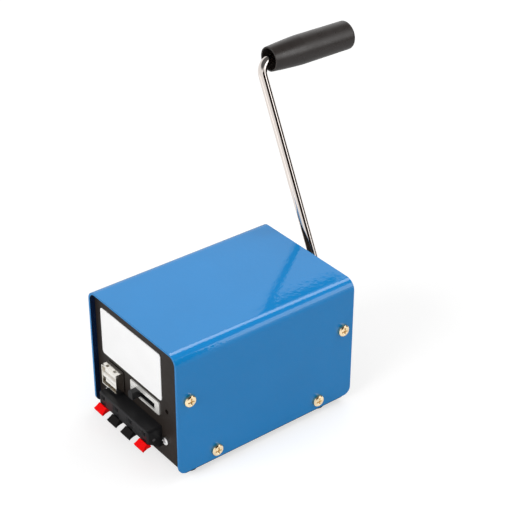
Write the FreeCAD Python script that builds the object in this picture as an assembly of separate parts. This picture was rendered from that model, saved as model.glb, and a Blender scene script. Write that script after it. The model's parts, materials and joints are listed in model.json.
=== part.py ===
import FreeCAD, Part
import math
import os

# Hand crank generator: sheet-steel box with a control panel in front, a geared generator inside
# and a crank behind.
# Millimetres. X to the right, Y from the control panel to the crank, Z up.
# The origin is on the resting plane, under the middle of the cover.

V = FreeCAD.Vector

# Cover and chassis
COVER_WIDTH = 92.5
COVER_LENGTH = 134.0
COVER_HEIGHT = 85.0
COVER_SHEET = 1.5
COVER_BEND = 7.0
SKIRT_CORNER = 5.0
CHASSIS_SHEET = 1.5
CHASSIS_BEND = 3.0
CHASSIS_FIT = 0.1
TOP_GAP = 0.3
PANEL_RECESS = 3.5
BASE_DROP = 2.0
SIDE_FLANGE_HEIGHT = 14.0
SIDE_FLANGE_INSET = 16.0
TAB_DEPTH = 12.0
TAB_CLEAR = 16.0

# Feet
FOOT_HEIGHT = 3.2
FOOT_DIAMETER = 10.5
FOOT_TAPER = 0.6
FOOT_X = 37.5
FRONT_FOOT_Y = -53.5
REAR_FOOT_Y = 46.3
FOOT_RECESS_DIAMETER = 6.4
FOOT_RECESS_DEPTH = 1.7
FOOT_SCREW_SUNK = 0.3

# Cover screws, each an inset from the cover's end and a height over its lower edge
UPPER_SCREW_INSET = 8.5
UPPER_SCREW_HEIGHT = 52.5
LOWER_SCREW_INSET = 27.5
LOWER_SCREW_HEIGHT = 7.0
COVER_SCREW_SHANK = 4.0
COVER_SCREW_HEAD = 8.0
COVER_SCREW_HEAD_HEIGHT = 2.6
COVER_SCREW_LENGTH = 5.0
SMALL_SCREW_SHANK = 3.0
SMALL_SCREW_HEAD = 5.6
SMALL_SCREW_HEAD_HEIGHT = 2.0
SCREW_HOLE_CLEARANCE = 0.1
PAN_ROUND = 0.55
RECESS_REACH = 0.3
RECESS_WIDTH = 0.13
RECESS_DEPTH = 0.75

# Front panel fittings
LABEL_CENTRE_X = -6.4
LABEL_CENTRE_Z = 63.3
LABEL_WIDTH = 63.8
LABEL_HEIGHT = 33.4
LABEL_THICKNESS = 0.4
LABEL_CORNER = 2.0
INDICATOR_HOLE_X = 30.0
INDICATOR_HOLE_Z = 41.4
INDICATOR_HOLE_DIAMETER = 3.2

USB_CENTRE_X = -23.7
USB_CENTRE_Z = 36.4
USB_WIDTH = 16.0
USB_HEIGHT = 14.2
USB_WALL = 0.5
USB_PROTRUSION = 6.0
USB_BODY_DEPTH = 14.0
USB_SOCKET_HEIGHT = 5.4
USB_TONGUE_WIDTH = 11.4
USB_TONGUE_THICKNESS = 2.2
USB_TONGUE_SETBACK = 1.2
USB_SPRING_WIDTH = 2.4
USB_SPRING_LENGTH = 2.2
USB_SPRING_SETBACK = 1.0
USB_CARRIER_DEPTH = 5.0
USB_BAR_SETBACK = 0.4
USB_CUTOUT_CLEARANCE = 0.6
USB_BRACKET_WIDTH = 24.0
USB_BRACKET_THICKNESS = 0.8
USB_BRACKET_LIP = 0.3
USB_BRACKET_RISE = 3.0
CONTACT_THICKNESS = 0.3
CONTACT_WIDTH = 1.0
CONTACT_SETBACK = 1.0
CONTACT_COUNT = 4

SWITCH_CENTRE_X = 7.6
SWITCH_CENTRE_Z = 39.3
SWITCH_FRAME_WIDTH = 30.6
SWITCH_FRAME_HEIGHT = 9.2
SWITCH_FRAME_THICKNESS = 0.8
SWITCH_FRAME_CORNER = 0.8
SWITCH_SLOT_WIDTH = 21.0
SWITCH_SLOT_HEIGHT = 4.6
SWITCH_SLOT_DROP = 0.8
SWITCH_BODY_DEPTH = 9.0
SWITCH_BODY_WALL = 1.2
KNOB_WIDTH = 4.6
KNOB_HEIGHT = 5.2
KNOB_PROTRUSION = 6.0
KNOB_STEM_HEIGHT = 4.0
KNOB_END_GAP = 0.6
KNOB_SLIDE_GAP = 0.3
KNOB_ROUND = 0.5
KNOB_BACK_GAP = 0.5

TERMINAL_CENTRE_X = -2.3
TERMINAL_WAYS = 4
TERMINAL_PITCH = 14.8
TERMINAL_END_WALL = 4.2
TERMINAL_BOTTOM_Z = 12.4
TERMINAL_FACE_BOTTOM_Z = 18.8
TERMINAL_TOP_Z = 27.2
TERMINAL_PROTRUSION = 11.0
TERMINAL_TOP_ROUND = 1.0
TERMINAL_END_ROUND = 1.6
TERMINAL_SLOPE_RUN = 8.4
TERMINAL_BODY_DEPTH = 12.0
TERMINAL_FLANGE_THICKNESS = 2.2
TERMINAL_FLANGE_OVERHANG = 8.5
TERMINAL_SCREW_OUTSET = 4.7
TERMINAL_SCREW_Z = 19.4
TERMINAL_SCREW_END = 2.0
POCKET_SETBACK = 2.0
POCKET_BACK_ROOM = 4.2
SPRING_WIDTH = 4.0
SPRING_LENGTH = 5.0
SPRING_THICKNESS = 0.8
WIRE_HOLE_DIAMETER = 3.6
WIRE_FUNNEL_DIAMETER = 5.0
WIRE_FUNNEL_DEPTH = 1.4
WIRE_FUNNEL_START = 0.2
WIRE_HOLE_Z = 24.2
FACE_RECESS_WIDTH = 7.0
FACE_RECESS_DEPTH = 0.8
FACE_RECESS_TOP = 1.2
WIRE_HOLE_DEPTH = 11.0

LEVER_BASE_WIDTH = 6.0
LEVER_ROOT_WIDTH = 8.8
LEVER_NECK_WIDTH = 8.2
LEVER_TIP_WIDTH = 9.8
LEVER_REACH = 3.8
LEVER_DROP = 4.1
LEVER_TIP_THICKNESS = 1.2
LEVER_TAB_DEPTH = 2.6
LEVER_TAB_DROP = 2.6
LEVER_BACK_DROP = 4.4
LEVER_NOSE = 0.1
LEVER_GAP = 0.4
LEVER_SWING_ROOM = 1.1
LEVER_PIN_DIAMETER = 2.0
LEVER_PIN_SETBACK = 5.0
LEVER_PIN_RISE = 0.6

# Gear train: crank gear and idler pinion, then idler gear and rotor pinion
SHAFT_HEIGHT = 47.2
FIRST_MODULE = 1.0
CRANK_TEETH = 48
IDLER_PINION_TEETH = 12
SECOND_MODULE = 0.7
IDLER_TEETH = 50
ROTOR_TEETH = 10
PRESSURE_ANGLE = 20.0
PINION_SHIFT = 0.4
ADDENDUM = 0.9
DEDENDUM = 1.15
BACKLASH = 0.14
IDLER_DIRECTION = 137.2
ROTOR_DIRECTION = -40.4
FIRST_FACE_WIDTH = 6.0
SECOND_FACE_WIDTH = 5.0
PINION_OVERLAP = 0.5
STAGE_GAP = 3.0
PLATE_GAP = 1.0
GEAR_PLATE_THICKNESS = 3.0
GEAR_PLATE_HALF_WIDTH = 41.0
GEAR_PLATE_BOTTOM = 14.0
GEAR_PLATE_TOP = 87.0
GEAR_PLATE_CORNER = 5.0
REAR_SPACER_LENGTH = 5.0
SPACER_DIAMETER = 6.0
SPACER_INSET = 3.6
SHAFT_DIAMETER = 8.0
SHAFT_NOSE_DIAMETER = 6.0
SHAFT_CLEARANCE = 0.04
PIN_DIAMETER = 4.0
BUSH_DIAMETER = 14.0
BUSH_FLANGE_DIAMETER = 20.0
BUSH_FLANGE_THICKNESS = 2.0
NOSE_BUSH_DIAMETER = 9.0
GEAR_HUB_DIAMETER = 14.0
GEAR_HUB_LENGTH = 2.0
GEAR_WEB_THICKNESS = 3.0
GEAR_RIM = 3.5
GEAR_END_PLAY = 0.4
PLATE_SCREW_THREAD = 5.0

# Crank
ARM_STANDOFF = 16.4
ARM_LEAN = 26.2
CRANK_RADIUS = 159.0
ROD_DIAMETER = 6.0
ROD_BEND = 9.0
ROD_TAIL = 11.5
HUB_DIAMETER = 17.0
HUB_CHAMFER = 0.8
HUB_START_GAP = 0.5
HUB_END_WALL = 3.6
SHAFT_IN_HUB = 8.0
SET_SCREW_DIAMETER = 4.0
SET_SCREW_LENGTH = 4.0
GRIP_LENGTH = 65.4
GRIP_STANDOFF = 7.8
GRIP_NEAR_DIAMETER = 16.4
GRIP_MAX_DIAMETER = 19.8
GRIP_FAR_DIAMETER = 19.4
GRIP_SWELL = 24.0
GRIP_SWELL_BULGE = 0.15
GRIP_END_ROUND = 1.8
GRIP_MOUTH_DIAMETER = 14.4
GRIP_MOUTH_DEPTH = 9.0
GRIP_CAVITY_DIAMETER = 10.0
GRIP_CAVITY_DEPTH = 9.0
GRIP_CAP_THICKNESS = 3.0
GRIP_BORE_CLEARANCE = 0.08
CLIP_DIAMETER = 8.8
CLIP_THICKNESS = 0.8
CLIP_GAP = 0.4
ROD_TIP = 1.2

# Generator
CAN_DIAMETER = 48.0
CAN_LENGTH = 42.0
CAN_WALL = 1.2
CAN_EDGE = 2.5
BOSS_DIAMETER = 14.0
BOSS_LENGTH = 3.0
BOSS_WALL = 1.0
SHAFT_END_GAP = 0.5
END_CAP_THICKNESS = 4.0
ROTOR_SHAFT_DIAMETER = 4.0
BEARING_DIAMETER = 10.0
BEARING_WIDTH = 3.0
MAGNET_DIAMETER = 25.0
MAGNET_LENGTH = 22.0
AIR_GAP = 0.6
STATOR_SLOTS = 6
STATOR_YOKE = 3.5
STATOR_POLE_WIDTH = 6.0
STATOR_SHOE_DEPTH = 1.6
STATOR_SHOE_ANGLE = 46.0
COIL_THICKNESS = 2.2
COIL_SHOE_GAP = 0.4
COIL_YOKE_GAP = 0.9
CAN_SCREW_ANGLES = (-135.0, 0.0)
CAN_SCREW_RADIUS = 17.0

# Circuit board
BOARD_WIDTH = 72.0
BOARD_LENGTH = 58.0
BOARD_THICKNESS = 1.6
BOARD_CORNER = 2.0
BOARD_REAR_Y = 14.0
STANDOFF_HEIGHT = 5.0
STANDOFF_DIAMETER = 6.0
STANDOFF_INSET = 4.0
CAPACITOR_DIAMETER = 12.0
CAPACITOR_HEIGHT = 17.0
CAPACITOR_ROUND = 0.8
CAPACITOR_GAP = 2.0
FIRST_CAPACITOR_X = -20.0
RECTIFIER_WIDTH = 16.0
RECTIFIER_DEPTH = 4.0
RECTIFIER_HEIGHT = 12.0
RECTIFIER_LIFT = 2.0
RECTIFIER_X = 22.0
RECTIFIER_SETBACK = 24.0
RECTIFIER_LEGS = 4
LEG_SIZE = 0.8
LEG_JOIN = 0.5
INDUCTOR_DIAMETER = 16.0
INDUCTOR_BORE = 7.0
INDUCTOR_HEIGHT = 7.0
INDUCTOR_ROUND = 1.5
INDUCTOR_X = -18.0
INDUCTOR_INSET = 14.0
REGULATOR_WIDTH = 10.0
REGULATOR_HEIGHT = 3.0
REGULATOR_X = 21.0
REGULATOR_INSET = 13.0
HEAT_SINK_WIDTH = 18.0
HEAT_SINK_DEPTH = 14.0
HEAT_SINK_BASE = 2.0
HEAT_SINK_HEIGHT = 10.0
FIN_COUNT = 6
FIN_THICKNESS = 1.0
LEAD_DIAMETER = 1.8
LEAD_BEND = 4.0
LEAD_SPACING = 4.0
LEAD_REACH = 8.0
LEAD_INSET = 8.0

# Worked-out places
SMALL_SCREW_HOLE = SMALL_SCREW_SHANK + 2 * SCREW_HOLE_CLEARANCE
HALF_WIDTH = COVER_WIDTH / 2
HALF_LENGTH = COVER_LENGTH / 2
COVER_BOTTOM = FOOT_HEIGHT + BASE_DROP
COVER_TOP = COVER_BOTTOM + COVER_HEIGHT
INNER_HALF_WIDTH = HALF_WIDTH - COVER_SHEET
CHASSIS_HALF_WIDTH = INNER_HALF_WIDTH - CHASSIS_FIT
CHASSIS_TOP = COVER_TOP - COVER_SHEET - TOP_GAP
PANEL_FRONT = -HALF_LENGTH + PANEL_RECESS
PANEL_BACK = PANEL_FRONT + CHASSIS_SHEET
REAR_PANEL_FRONT = HALF_LENGTH - PANEL_RECESS - CHASSIS_SHEET
REAR_PANEL_BACK = HALF_LENGTH - PANEL_RECESS
ARM_PLANE = HALF_LENGTH + ARM_STANDOFF
GRIP_START = ARM_PLANE + GRIP_STANDOFF
BASE_TOP = FOOT_HEIGHT + CHASSIS_SHEET

REAR_PLATE_BACK = REAR_PANEL_FRONT - REAR_SPACER_LENGTH
REAR_PLATE_FRONT = REAR_PLATE_BACK - GEAR_PLATE_THICKNESS
CRANK_GEAR_BACK = REAR_PLATE_FRONT - SHAFT_CLEARANCE - GEAR_END_PLAY - GEAR_HUB_LENGTH
CRANK_GEAR_FRONT = CRANK_GEAR_BACK - FIRST_FACE_WIDTH
IDLER_GEAR_BACK = CRANK_GEAR_FRONT - STAGE_GAP
IDLER_GEAR_FRONT = IDLER_GEAR_BACK - SECOND_FACE_WIDTH
FRONT_PLATE_BACK = IDLER_GEAR_FRONT - PINION_OVERLAP - PLATE_GAP
FRONT_PLATE_FRONT = FRONT_PLATE_BACK - GEAR_PLATE_THICKNESS
CAN_BACK = FRONT_PLATE_FRONT
CAN_FRONT = CAN_BACK - CAN_LENGTH

FIRST_CENTRES = FIRST_MODULE * (CRANK_TEETH + IDLER_PINION_TEETH) / 2
SECOND_CENTRES = SECOND_MODULE * (IDLER_TEETH + ROTOR_TEETH) / 2


def polar(centre, radius, degrees):
    """Point at an angle from +X towards +Z, as an x, z pair."""
    angle = math.radians(degrees)
    return centre[0] + radius * math.cos(angle), centre[1] + radius * math.sin(angle)


CRANK_AXIS = (0.0, SHAFT_HEIGHT)
IDLER_AXIS = polar(CRANK_AXIS, FIRST_CENTRES, IDLER_DIRECTION)
ROTOR_AXIS = polar(IDLER_AXIS, SECOND_CENTRES, ROTOR_DIRECTION)
GRIP_AXIS = polar(CRANK_AXIS, CRANK_RADIUS, 90.0 + ARM_LEAN)


# Shared solids


def block(x, y, z):
    """Box between three pairs of limits."""
    return Part.makeBox(x[1] - x[0], y[1] - y[0], z[1] - z[0], V(x[0], y[0], z[0]))


def rod_x(y, z, diameter, x):
    return Part.makeCylinder(diameter / 2, x[1] - x[0], V(x[0], y, z), V(1, 0, 0))


def rod_y(axis, diameter, y):
    return Part.makeCylinder(diameter / 2, y[1] - y[0], V(axis[0], y[0], axis[1]), V(0, 1, 0))


def rod_z(x, y, diameter, z):
    return Part.makeCylinder(diameter / 2, z[1] - z[0], V(x, y, z[0]), V(0, 0, 1))


def edges_along(shape, direction, keep=None):
    """Straight edges parallel to a direction, where keep is true of their middle."""
    found = []
    for edge in shape.Edges:
        if not isinstance(edge.Curve, Part.Line):
            continue
        if abs(abs(edge.Curve.Direction.dot(direction)) - 1.0) > 1e-6:
            continue
        if keep is None or keep(edge.CenterOfMass):
            found.append(edge)
    return found


def rounded(shape, radius, direction, keep=None):
    return shape.makeFillet(radius, edges_along(shape, direction, keep))


def along_x(side_view, start, length):
    """Prism along X from a side view of y and z pairs."""
    points = [V(start, y, z) for y, z in side_view]
    return Part.Face(Part.makePolygon(points + [points[0]])).extrude(V(length, 0, 0))


def upright_plate(x, y, z, corner):
    """Plate facing the front, with rounded corners."""
    return rounded(block(x, y, z), corner, V(0, 1, 0))


def cross_recess(head, top):
    """Tapered cross for a screwdriver, sunk from the top of a head that stands on z = 0."""
    reach = head * RECESS_REACH
    half_slot = head * RECESS_WIDTH / 2
    depth = top * RECESS_DEPTH
    along = block((-reach, reach), (-half_slot, half_slot), (top - depth, top + 1))
    across = block((-half_slot, half_slot), (-reach, reach), (top - depth, top + 1))
    taper = Part.makeCone(half_slot, reach, depth, V(0, 0, top - depth))
    return along.fuse(across).common(taper)


def pan_screw(place, outward, shank, head, head_height, length):
    """Pan-head screw with a cross recess, seated at a place, with its head on the outward side."""
    cap = Part.makeCylinder(head / 2, head_height)
    rim = [edge for edge in cap.Edges
           if isinstance(edge.Curve, Part.Circle) and edge.CenterOfMass.z > head_height / 2]
    cap = cap.makeFillet(head_height * PAN_ROUND, rim)
    stem = Part.makeCylinder(shank / 2, length, V(0, 0, -length))
    screw = cap.fuse(stem).removeSplitter().cut(cross_recess(head, head_height))
    screw.Placement = FreeCAD.Placement(place, FreeCAD.Rotation(V(0, 0, 1), outward))
    return screw


def write(node, solids):
    """One STEP file per node, with one solid or a group of separate solids."""
    shape = solids[0] if len(solids) == 1 else Part.makeCompound(solids)
    if not shape.isValid():
        raise ValueError(node + " is not a valid shape")
    shape.exportStep("parts/" + node + ".step")


# Cover


def cover_screw_places():
    """Side of the box, y and z of each cover screw."""
    places = []
    for side in (-1, 1):
        for end in (-1, 1):
            places.append((side, end * (HALF_LENGTH - UPPER_SCREW_INSET), COVER_BOTTOM + UPPER_SCREW_HEIGHT))
            places.append((side, end * (HALF_LENGTH - LOWER_SCREW_INSET), COVER_BOTTOM + LOWER_SCREW_HEIGHT))
    return places


def side_hole(side, y, z, diameter, inner, outer):
    limits = (inner, outer) if side > 0 else (-outer, -inner)
    return rod_x(y, z, diameter, limits)


def top_cover():
    length = (-HALF_LENGTH, HALF_LENGTH)
    outside = block((-HALF_WIDTH, HALF_WIDTH), length, (COVER_BOTTOM, COVER_TOP))
    outside = rounded(outside, COVER_BEND, V(0, 1, 0), lambda p: p.z > COVER_TOP - 1)
    roof = COVER_TOP - COVER_SHEET
    inside = block((-INNER_HALF_WIDTH, INNER_HALF_WIDTH), length, (COVER_BOTTOM - 1, roof))
    inside = rounded(inside, COVER_BEND - COVER_SHEET, V(0, 1, 0), lambda p: p.z > roof - 1)
    shell = outside.cut(inside)
    shell = rounded(
        shell, SKIRT_CORNER, V(1, 0, 0),
        lambda p: p.z < COVER_BOTTOM + 0.01 and abs(p.y) > HALF_LENGTH - 0.01)
    for side, y, z in cover_screw_places():
        hole = COVER_SCREW_SHANK + 4 * SCREW_HOLE_CLEARANCE
        shell = shell.cut(side_hole(side, y, z, hole, CHASSIS_HALF_WIDTH, HALF_WIDTH + 1))
    return shell


def cover_screws():
    screws = []
    for side, y, z in cover_screw_places():
        screws.append(pan_screw(
            V(side * HALF_WIDTH, y, z), V(side, 0, 0),
            COVER_SCREW_SHANK, COVER_SCREW_HEAD, COVER_SCREW_HEAD_HEIGHT, COVER_SCREW_LENGTH))
    return screws


# Chassis


def terminal_span():
    half = (TERMINAL_WAYS - 1) * TERMINAL_PITCH / 2 + TERMINAL_END_WALL
    return TERMINAL_CENTRE_X - half, TERMINAL_CENTRE_X + half


def terminal_screw_xs():
    left, right = terminal_span()
    return left - TERMINAL_SCREW_OUTSET, right + TERMINAL_SCREW_OUTSET


def spacer_places():
    places = []
    for side in (-1, 1):
        x = side * (GEAR_PLATE_HALF_WIDTH - SPACER_INSET)
        places.append((x, GEAR_PLATE_BOTTOM + SPACER_INSET))
        places.append((x, GEAR_PLATE_TOP - SPACER_INSET))
    return places


def foot_places():
    return [(side * FOOT_X, y) for side in (-1, 1) for y in (FRONT_FOOT_Y, REAR_FOOT_Y)]


def standoff_places():
    half = BOARD_WIDTH / 2 - STANDOFF_INSET
    ends = (BOARD_REAR_Y - STANDOFF_INSET, BOARD_REAR_Y - BOARD_LENGTH + STANDOFF_INSET)
    return [(side * half, y) for side in (-1, 1) for y in ends]


def usb_limits(grow):
    half_width = USB_WIDTH / 2 + grow
    half_height = USB_HEIGHT / 2 + grow
    return ((USB_CENTRE_X - half_width, USB_CENTRE_X + half_width),
            (USB_CENTRE_Z - half_height, USB_CENTRE_Z + half_height))


def switch_slot_limits(grow):
    middle = SWITCH_CENTRE_Z - SWITCH_SLOT_DROP
    half_width = SWITCH_SLOT_WIDTH / 2 + grow
    half_height = SWITCH_SLOT_HEIGHT / 2 + grow
    return ((SWITCH_CENTRE_X - half_width, SWITCH_CENTRE_X + half_width),
            (middle - half_height, middle + half_height))


def panel_openings():
    """Tools that cut the front panel."""
    through = (PANEL_FRONT - 1, PANEL_BACK + 0.5)
    usb_x, usb_z = usb_limits(USB_CUTOUT_CLEARANCE)
    slot_x, slot_z = switch_slot_limits(SWITCH_BODY_WALL + CHASSIS_FIT)
    left, right = terminal_span()
    tools = [
        block(usb_x, through, usb_z),
        block(slot_x, through, slot_z),
        block((left - CHASSIS_FIT, right + CHASSIS_FIT), through,
              (TERMINAL_BOTTOM_Z - CHASSIS_FIT, TERMINAL_TOP_Z + CHASSIS_FIT)),
        rod_y((INDICATOR_HOLE_X, INDICATOR_HOLE_Z), INDICATOR_HOLE_DIAMETER, through),
    ]
    for x in terminal_screw_xs():
        tools.append(rod_y((x, TERMINAL_SCREW_Z), SMALL_SCREW_HOLE, through))
    return tools


def chassis():
    width = (-CHASSIS_HALF_WIDTH, CHASSIS_HALF_WIDTH)
    outside = block(width, (PANEL_FRONT, REAR_PANEL_BACK), (FOOT_HEIGHT, CHASSIS_TOP))
    outside = rounded(outside, CHASSIS_BEND, V(1, 0, 0), lambda p: p.z < FOOT_HEIGHT + 1)
    inside = block(width, (PANEL_BACK, REAR_PANEL_FRONT), (BASE_TOP, CHASSIS_TOP + 1))
    inside = rounded(inside, CHASSIS_BEND - CHASSIS_SHEET, V(1, 0, 0), lambda p: p.z < BASE_TOP + 1)
    tray = outside.cut(inside)
    tray = rounded(tray, COVER_BEND - COVER_SHEET, V(0, 1, 0), lambda p: p.z > CHASSIS_TOP - 0.01)
    for side in (-1, 1):
        wall = sorted((side * CHASSIS_HALF_WIDTH, side * (CHASSIS_HALF_WIDTH - CHASSIS_SHEET)))
        flange = block(wall, (PANEL_BACK + SIDE_FLANGE_INSET, REAR_PANEL_FRONT - SIDE_FLANGE_INSET),
                       (FOOT_HEIGHT, FOOT_HEIGHT + SIDE_FLANGE_HEIGHT))
        tab_z = (FOOT_HEIGHT + TAB_CLEAR, CHASSIS_TOP - TAB_CLEAR / 2)
        front_tab = block(wall, (PANEL_FRONT + CHASSIS_SHEET / 2, PANEL_FRONT + TAB_DEPTH), tab_z)
        rear_tab = block(wall, (REAR_PANEL_BACK - TAB_DEPTH, REAR_PANEL_BACK - CHASSIS_SHEET / 2), tab_z)
        tray = tray.fuse([flange, front_tab, rear_tab])
    tray = tray.removeSplitter()
    tools = panel_openings()
    for side, y, z in cover_screw_places():
        hole = COVER_SCREW_SHANK + 2 * SCREW_HOLE_CLEARANCE
        tools.append(side_hole(side, y, z, hole, CHASSIS_HALF_WIDTH - CHASSIS_SHEET - 1, HALF_WIDTH))
    for x, y in foot_places() + standoff_places():
        tools.append(rod_z(x, y, SMALL_SCREW_HOLE, (FOOT_HEIGHT - 1, BASE_TOP + 1)))
    rear = (REAR_PANEL_FRONT - 1, REAR_PANEL_BACK + 1)
    for place in spacer_places():
        tools.append(rod_y(place, SMALL_SCREW_HOLE, rear))
    tools.append(rod_y(CRANK_AXIS, BUSH_DIAMETER + 2 * CHASSIS_FIT, rear))
    return tray.cut(tools)


def rubber_feet():
    feet = []
    for x, y in foot_places():
        body = Part.makeCone(FOOT_DIAMETER / 2 - FOOT_TAPER, FOOT_DIAMETER / 2, FOOT_HEIGHT, V(x, y, 0))
        recess = rod_z(x, y, FOOT_RECESS_DIAMETER, (-1, FOOT_RECESS_DEPTH))
        hole = rod_z(x, y, SMALL_SCREW_HOLE, (0, FOOT_HEIGHT + 1))
        feet.append(body.cut([recess, hole]))
    return feet


def foot_screws():
    screws = []
    for x, y in foot_places():
        head_height = FOOT_RECESS_DEPTH - FOOT_SCREW_SUNK
        screws.append(pan_screw(
            V(x, y, FOOT_RECESS_DEPTH), V(0, 0, -1),
            SMALL_SCREW_SHANK, SMALL_SCREW_HEAD, head_height, FOOT_HEIGHT + SMALL_SCREW_SHANK))
    return screws


# Front panel fittings


def label_plate():
    return upright_plate(
        (LABEL_CENTRE_X - LABEL_WIDTH / 2, LABEL_CENTRE_X + LABEL_WIDTH / 2),
        (PANEL_FRONT - LABEL_THICKNESS, PANEL_FRONT),
        (LABEL_CENTRE_Z - LABEL_HEIGHT / 2, LABEL_CENTRE_Z + LABEL_HEIGHT / 2), LABEL_CORNER)


def usb_socket_middles():
    """Height of the middle of each of the two stacked sockets."""
    offset = (USB_HEIGHT - 2 * USB_WALL - USB_SOCKET_HEIGHT) / 2
    return USB_CENTRE_Z - offset, USB_CENTRE_Z + offset


USB_FRONT = PANEL_FRONT - USB_PROTRUSION
USB_BACK = PANEL_BACK + USB_BODY_DEPTH


def usb_shell():
    """Folded metal shell, open in front, with a spring cut-out over each socket."""
    x, z = usb_limits(0.0)
    shell = block(x, (USB_FRONT, USB_BACK), z)
    inner_x, inner_z = usb_limits(-USB_WALL)
    shell = shell.cut(block(inner_x, (USB_FRONT - 1, USB_BACK - USB_WALL), inner_z))
    for side in (-1, 1):
        middle = USB_CENTRE_X + side * USB_WIDTH / 4
        spring = block((middle - USB_SPRING_WIDTH / 2, middle + USB_SPRING_WIDTH / 2),
                       (USB_FRONT + USB_SPRING_SETBACK, USB_FRONT + USB_SPRING_SETBACK + USB_SPRING_LENGTH),
                       (inner_z[1], z[1] + 1))
        shell = shell.cut(spring)
    return shell


def usb_bracket():
    """Steel plate behind the panel, soldered round the shell."""
    half = USB_BRACKET_WIDTH / 2
    y = (PANEL_BACK, PANEL_BACK + USB_BRACKET_THICKNESS)
    z = (USB_CENTRE_Z - USB_HEIGHT / 2 - USB_BRACKET_LIP, USB_CENTRE_Z + USB_HEIGHT / 2 + USB_BRACKET_RISE)
    plate = block((USB_CENTRE_X - half, USB_CENTRE_X + half), y, z)
    shell_x, shell_z = usb_limits(0.0)
    return plate.cut(block(shell_x, (y[0] - 1, y[1] + 1), shell_z))


def usb_insulators():
    """Plastic carrier: a bar between the sockets, a back wall and one tongue in each socket."""
    inner_x, inner_z = usb_limits(-USB_WALL - CHASSIS_FIT)
    low, high = usb_socket_middles()
    back = (USB_BACK - USB_WALL - USB_CARRIER_DEPTH, USB_BACK - USB_WALL - CHASSIS_FIT)
    carrier = block(inner_x, back, inner_z)
    bar_z = (low + USB_SOCKET_HEIGHT / 2, high - USB_SOCKET_HEIGHT / 2)
    carrier = carrier.fuse(block(inner_x, (USB_FRONT + USB_BAR_SETBACK, back[1]), bar_z))
    for middle in (low, high):
        tongue = block((USB_CENTRE_X - USB_TONGUE_WIDTH / 2, USB_CENTRE_X + USB_TONGUE_WIDTH / 2),
                       (USB_FRONT + USB_TONGUE_SETBACK, back[1]),
                       (middle - USB_TONGUE_THICKNESS / 2, middle + USB_TONGUE_THICKNESS / 2))
        carrier = carrier.fuse(tongue)
    return carrier.removeSplitter()


def usb_contacts():
    """A row of contact strips on the underside of each tongue."""
    strips = []
    pitch = USB_TONGUE_WIDTH / CONTACT_COUNT
    y = (USB_FRONT + USB_TONGUE_SETBACK + CONTACT_SETBACK,
         USB_BACK - USB_WALL - USB_CARRIER_DEPTH - CHASSIS_FIT)
    for middle in usb_socket_middles():
        top = middle - USB_TONGUE_THICKNESS / 2
        for index in range(CONTACT_COUNT):
            x = USB_CENTRE_X + (index - (CONTACT_COUNT - 1) / 2) * pitch
            strips.append(block((x - CONTACT_WIDTH / 2, x + CONTACT_WIDTH / 2), y,
                                (top - CONTACT_THICKNESS, top)))
    return strips


def switch_frame():
    """Pressed metal frame with a long slot, on the front of the panel."""
    half_width = SWITCH_FRAME_WIDTH / 2
    half_height = SWITCH_FRAME_HEIGHT / 2
    plate = upright_plate(
        (SWITCH_CENTRE_X - half_width, SWITCH_CENTRE_X + half_width),
        (PANEL_FRONT - SWITCH_FRAME_THICKNESS, PANEL_FRONT),
        (SWITCH_CENTRE_Z - half_height, SWITCH_CENTRE_Z + half_height), SWITCH_FRAME_CORNER)
    slot_x, slot_z = switch_slot_limits(0.0)
    return plate.cut(block(slot_x, (PANEL_FRONT - SWITCH_FRAME_THICKNESS - 1, PANEL_FRONT + 1), slot_z))


def switch_body():
    """Open box behind the frame that carries the slider."""
    slot_x, slot_z = switch_slot_limits(0.0)
    out_x, out_z = switch_slot_limits(SWITCH_BODY_WALL)
    back = PANEL_BACK + SWITCH_BODY_DEPTH
    body = block(out_x, (PANEL_FRONT, back), out_z)
    return body.cut(block(slot_x, (PANEL_FRONT - 1, back - SWITCH_BODY_WALL), slot_z))


def knob_left():
    return switch_slot_limits(0.0)[0][0] + KNOB_END_GAP


def switch_knob():
    """Slider: a finger block in front and a thinner shoe that runs in the body."""
    left = knob_left()
    middle = SWITCH_CENTRE_Z - SWITCH_SLOT_DROP
    front = PANEL_FRONT - KNOB_PROTRUSION
    frame_front = PANEL_FRONT - SWITCH_FRAME_THICKNESS
    finger = block((left, left + KNOB_WIDTH), (front, frame_front - KNOB_SLIDE_GAP),
                   (middle - KNOB_HEIGHT / 2, middle + KNOB_HEIGHT / 2))
    finger = finger.makeFillet(KNOB_ROUND, edges_along(finger, V(0, 1, 0)))
    stem = block((left, left + KNOB_WIDTH),
                 (frame_front - KNOB_SLIDE_GAP - KNOB_ROUND,
                  PANEL_BACK + SWITCH_BODY_DEPTH - SWITCH_BODY_WALL - KNOB_BACK_GAP),
                 (middle - KNOB_STEM_HEIGHT / 2, middle + KNOB_STEM_HEIGHT / 2))
    return finger.fuse(stem).removeSplitter()


TERMINAL_FRONT = PANEL_FRONT - TERMINAL_PROTRUSION
TERMINAL_BACK = PANEL_BACK + TERMINAL_BODY_DEPTH


def terminal_xs():
    first = -(TERMINAL_WAYS - 1) / 2
    return [TERMINAL_CENTRE_X + (first + index) * TERMINAL_PITCH for index in range(TERMINAL_WAYS)]


def lever_pin_place():
    """y and z of the levers' hinge line."""
    return TERMINAL_FRONT + LEVER_PIN_SETBACK, TERMINAL_FACE_BOTTOM_Z + LEVER_PIN_RISE


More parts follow.
